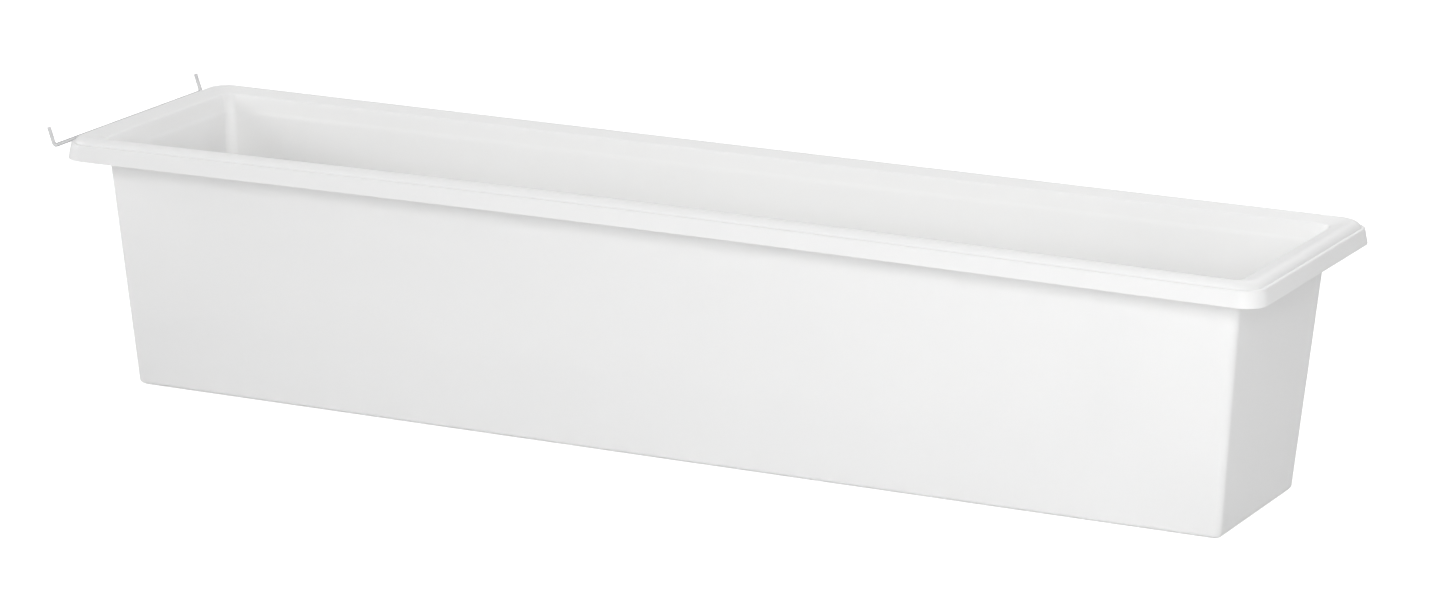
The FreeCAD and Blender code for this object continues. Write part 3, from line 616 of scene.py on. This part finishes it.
def rounded_distance(x, y, low, high, radius):
    """Distance in mm outside a rectangle with round corners; negative inside."""
    dx = abs(x - (low.x + high.x) / 2) - (high.x - low.x) / 2 + radius
    dy = abs(y - (low.y + high.y) / 2) - (high.y - low.y) / 2 + radius
    return hypot(max(dx, 0.0), max(dy, 0.0)) + min(max(dx, dy), 0.0) - radius


def fleece_sheet(side):
    """One sheet of fleece: cut round the cups and the tube, draped over their flanges, a little uneven."""
    low, high = (Vector(corner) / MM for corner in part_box(f"fleece_{side}"))
    cups = cup_circles(side)
    tube = "gauge_tube" if side == "left" else "filler_tube"

    def outside(x, y):
        """Distance in mm outside the sheet's outline; negative on the sheet."""
        gaps = [hypot(x - cx, y - cy) - radius + CUP_LAP for cx, cy, radius in cups]
        gaps.append(capsule_distance(x, y, TUBE_BOXES[tube]) + TUBE_FLANGE - 1.0)
        return max(rounded_distance(x, y, low, high, FLEECE_CORNER), *(-gap for gap in gaps))

    def height(x, y):
        """The sheet's underside: on a flange near one, on the panel away from them, with small waves."""
        gaps = [hypot(x - cx, y - cy) - radius for cx, cy, radius in cups]
        gaps.append(capsule_distance(x, y, TUBE_BOXES[tube]))
        share = min(1.0, max(0.0, 1 - min(gaps) / DRAPE))
        share = share * share * (3 - 2 * share)
        broad = noise.noise(Vector((x * 0.035, y * 0.05, 3.1)))
        fine = noise.noise(Vector((x * 0.11, y * 0.12, 7.7)))
        wave = FLEECE_RIPPLE * (1 - 0.7 * share) * max(0.0, 0.6 + (broad + 0.5 * fine))
        return PANEL_Z + (FLANGE_Z - PANEL_Z) * share + wave

    def snapped(x, y):
        """Moves a point near the sheet's edge onto it."""
        for _ in range(3):
            gap, probe = outside(x, y), 0.2
            if abs(gap) > FLEECE_CELL:
                break
            slope_x = (outside(x + probe, y) - outside(x - probe, y)) / (2 * probe)
            slope_y = (outside(x, y + probe) - outside(x, y - probe)) / (2 * probe)
            scale = max(0.25, slope_x ** 2 + slope_y ** 2)
            x, y = x - gap * slope_x / scale, y - gap * slope_y / scale
        return x, y

    columns, rows = (int((high[i] - low[i]) / FLEECE_CELL) for i in (0, 1))
    bm = bmesh.new()
    grid = {}
    for column in range(columns + 1):
        for row in range(rows + 1):
            x = low.x + (high.x - low.x) * column / columns
            y = low.y + (high.y - low.y) * row / rows
            if outside(x, y) < 0.45 * FLEECE_CELL:
                grid[column, row] = bm.verts.new((x, y, 0))
    for column, row in grid:
        corners = [(column, row), (column + 1, row), (column + 1, row + 1), (column, row + 1)]
        if all(corner in grid for corner in corners):
            bm.faces.new([grid[corner] for corner in corners])
    bmesh.ops.delete(bm, geom=[v for v in bm.verts if not v.link_faces], context="VERTS")
    for vertex in bm.verts:
        if vertex.is_boundary:
            vertex.co.x, vertex.co.y = snapped(vertex.co.x, vertex.co.y)
    for vertex in bm.verts:
        vertex.co.z = height(vertex.co.x, vertex.co.y) + FLEECE_THICK / 2
        vertex.co *= MM
    mesh = finish_mesh(bm, f"fleece_sheet_{side}")
    mesh.shade_smooth()
    piece = new_piece(f"fleece_sheet_{side}", mesh, f"insert_{side}", "fleece", f"fleece_{side}")
    thick = piece.modifiers.new("thickness", "SOLIDIFY")
    thick.thickness = FLEECE_THICK * MM
    thick.offset = 0.0
    soft = piece.modifiers.new("soft", "SUBSURF")
    soft.levels = soft.render_levels = 1


def tube_boxes():
    """The tubes' flanges as boxes, from the boxes of their nodes."""
    boxes = {"gauge_tube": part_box("gauge_tube")}
    low, high = (Vector(corner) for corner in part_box("filler_tube"))
    # The filler's hinge ears reach further back than its flange, so the flange's own depth is used.
    high.y = low.y + 2 * (FILLER_HALF + TUBE_FLANGE) * MM
    boxes["filler_tube"] = (low, high)
    return boxes


TUBE_BOXES = tube_boxes()


def felt_discs(side):
    """The felts in one side's cups: cut discs, a little crowned, with soft uneven edges."""
    low, high = (Vector(corner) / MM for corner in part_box(f"cup_felts_{side}"))
    radius, y = (high.y - low.y) / 2, (low.y + high.y) / 2
    base, top = low.z + 0.1, high.z - 0.15
    soft = 0.9
    profile = [(share * (radius - soft), base) for share in (0.15, 0.45, 0.75)]
    profile += [(radius - soft, base + 0.05), (radius - 0.35, base + 0.5 * soft)]
    profile += [(radius - 0.25, (base + top) / 2)]
    profile += [(radius - 0.35, top - 0.6 * soft), (radius - soft, top - 0.15)]
    profile += [(share * (radius - soft), top + 0.1 * (1 - share)) for share in (0.8, 0.6, 0.4, 0.2, 0.06)]
    bm = bmesh.new()
    for x in (low.x + radius, high.x - radius):
        disc = turned(profile, (x, y), 72, 0.22)
        bm.from_mesh(disc)
    mesh = finish_mesh(bm, f"felt_discs_{side}")
    mesh.shade_smooth()
    new_piece(f"felt_discs_{side}", mesh, f"insert_{side}", "felt", f"cup_felts_{side}")


# ---- CAD parts that keep their meshes ------------------------------------------------------------------

# The radius, in mm, that softens the edges of each part named here.
EDGE_SOFTNESS = {"floor_panel_left": 0.35, "floor_panel_right": 0.35, "wick_cups_left": 0.3,
                 "wick_cups_right": 0.3, "filler_tube": 0.3, "filler_cap": 0.35, "gauge_tube": 0.3,
                 "overflow_plug": 0.3, "plug_seal": 0.25, "cap_pin": 0.2}


def dress_cad_parts():
    """Gives each CAD part its material, and those in EDGE_SOFTNESS slightly rounded edges."""
    slots = {entry["node"]: entry["material_slot"] for entry in frame["record"]["subparts"]}
    for name, part in nodes.items():
        part.data.materials.clear()
        part.data.materials.append(MATERIALS[slots[name]])
        if name in EDGE_SOFTNESS:
            weld = part.modifiers.new("weld", "WELD")
            weld.merge_threshold = 0.000002       # metres: joins the CAD faces along their shared edges
            bevel = part.modifiers.new("edges", "BEVEL")
            bevel.width = EDGE_SOFTNESS[name] * MM
            bevel.segments = 2
            bevel.limit_method = "ANGLE"
            bevel.angle_limit = radians(50)
            bevel.harden_normals = True


make_trough()
for side_name in ("left", "right"):
    fleece_sheet(side_name)
    felt_discs(side_name)
dress_cad_parts()


# ---- stage ---------------------------------------------------------------------------------------------

WORLD_STRENGTH = 0.18
SURROUND_GLOSS = 0.8      # how bright reflections see the white surround
FLOOR_WHITE = 0.8         # what the floor shows the camera on top of the light it reflects
LIGHTS = {
    # name: (place, aim, (width, height), watts)
    "key_right": ((0.95, -1.75, 0.85), (0.2, 0.0, 0.08), (0.8, 0.8), 20.3),
    "front": ((-0.2, -3.6, 1.5), (0.0, 0.0, 0.08), (2.0, 1.4), 0.8),
    "top": ((0.0, 0.2, 2.4), (0.0, 0.0, 0.08), (2.4, 1.2), 12.0),
    "back_high": ((0.2, 2.6, 2.2), (0.0, 0.0, 0.08), (2.0, 1.2), 25.0),
    "back_right": ((1.8, 1.8, 1.3), (0.2, 0.0, 0.1), (1.0, 0.8), 3.0),
    "left": ((-2.6, -0.8, 1.2), (0.0, 0.0, 0.08), (1.5, 1.2), 27.0),
    "right": ((3.0, 0.3, 0.7), (0.3, 0.0, 0.08), (1.4, 1.0), 5.5),
}
CAMERA_PLACE = (1.5398, -3.1294, 0.9879)
AZIMUTH, ELEVATION, ROLL = radians(26.0), radians(14.56), radians(0.52)
SENSOR_WIDTH, LENS = 36.0, 147.07         # mm


def stage_floor():
    """A plain pale floor that stays near white for the camera, so the shadows on it are faint."""
    bpy.ops.mesh.primitive_plane_add(size=60, location=(0, 0, -0.0006))
    plane = bpy.context.object
    plane.name = "stage_floor"
    s = Shader("stage_floor")
    s.set(Base_Color=(0.93, 0.93, 0.93, 1.0), Roughness=0.9, Specular_IOR_Level=0.0)
    s.set(Emission_Color=(1.0, 1.0, 1.0, 1.0))
    rays = s.add("ShaderNodeLightPath")
    glow = s.add("ShaderNodeMath", operation="MULTIPLY")
    s.link(rays.outputs["Is Camera Ray"], glow.inputs[0])
    glow.inputs[1].default_value = FLOOR_WHITE
    s.link(glow.outputs["Value"], s.bsdf.inputs["Emission Strength"])
    plane.data.materials.append(s.material)


def surround():
    """A white surround that the camera and the reflections see; it adds little light of its own."""
    world = bpy.data.worlds.new("surround")
    bpy.context.scene.world = world
    world.use_nodes = True
    tree = world.node_tree
    background = tree.nodes["Background"]
    background.inputs["Color"].default_value = (1.0, 1.0, 1.0, 1.0)
    rays = tree.nodes.new("ShaderNodeLightPath")
    strength = WORLD_STRENGTH
    for ray, level in (("Is Glossy Ray", SURROUND_GLOSS), ("Is Camera Ray", 1.0)):
        pick = tree.nodes.new("ShaderNodeMix")
        tree.links.new(rays.outputs[ray], pick.inputs["Factor"])
        if isinstance(strength, float):
            pick.inputs["A"].default_value = strength
        else:
            tree.links.new(strength, pick.inputs["A"])
        pick.inputs["B"].default_value = level
        strength = pick.outputs["Result"]
    tree.links.new(strength, background.inputs["Strength"])


def lamps():
    """Soft rectangular lamps round the trough."""
    for name, (place, aim, size, watts) in LIGHTS.items():
        lamp = bpy.data.lights.new(name, "AREA")
        lamp.shape = "RECTANGLE"
        lamp.size, lamp.size_y = size
        lamp.energy = watts
        holder = bpy.data.objects.new(name, lamp)
        holder.location = place
        direction = Vector(aim) - Vector(place)
        holder.rotation_euler = direction.to_track_quat("-Z", "Y").to_euler()
        bpy.context.scene.collection.objects.link(holder)


def camera():
    """The photograph's viewing angle: 26 degrees to the right of square-on, 14.6 degrees above level."""
    data = bpy.data.cameras.new("camera")
    data.sensor_width = SENSOR_WIDTH
    data.lens = LENS
    data.clip_end = 200.0
    cam = bpy.data.objects.new("camera", data)
    bpy.context.scene.collection.objects.link(cam)
    cam.location = CAMERA_PLACE
    back = Vector((sin(AZIMUTH) * cos(ELEVATION), -cos(AZIMUTH) * cos(ELEVATION), sin(ELEVATION)))
    right = Vector((0, 0, 1)).cross(back).normalized()
    up = back.cross(right)
    right, up = cos(ROLL) * right + sin(ROLL) * up, cos(ROLL) * up - sin(ROLL) * right
    cam.matrix_world = Matrix.Translation(cam.location) @ Matrix((right, up, back)).transposed().to_4x4()
    bpy.context.scene.camera = cam


stage_floor()
surround()
lamps()
camera()
bpy.context.scene.view_settings.view_transform = "Standard"
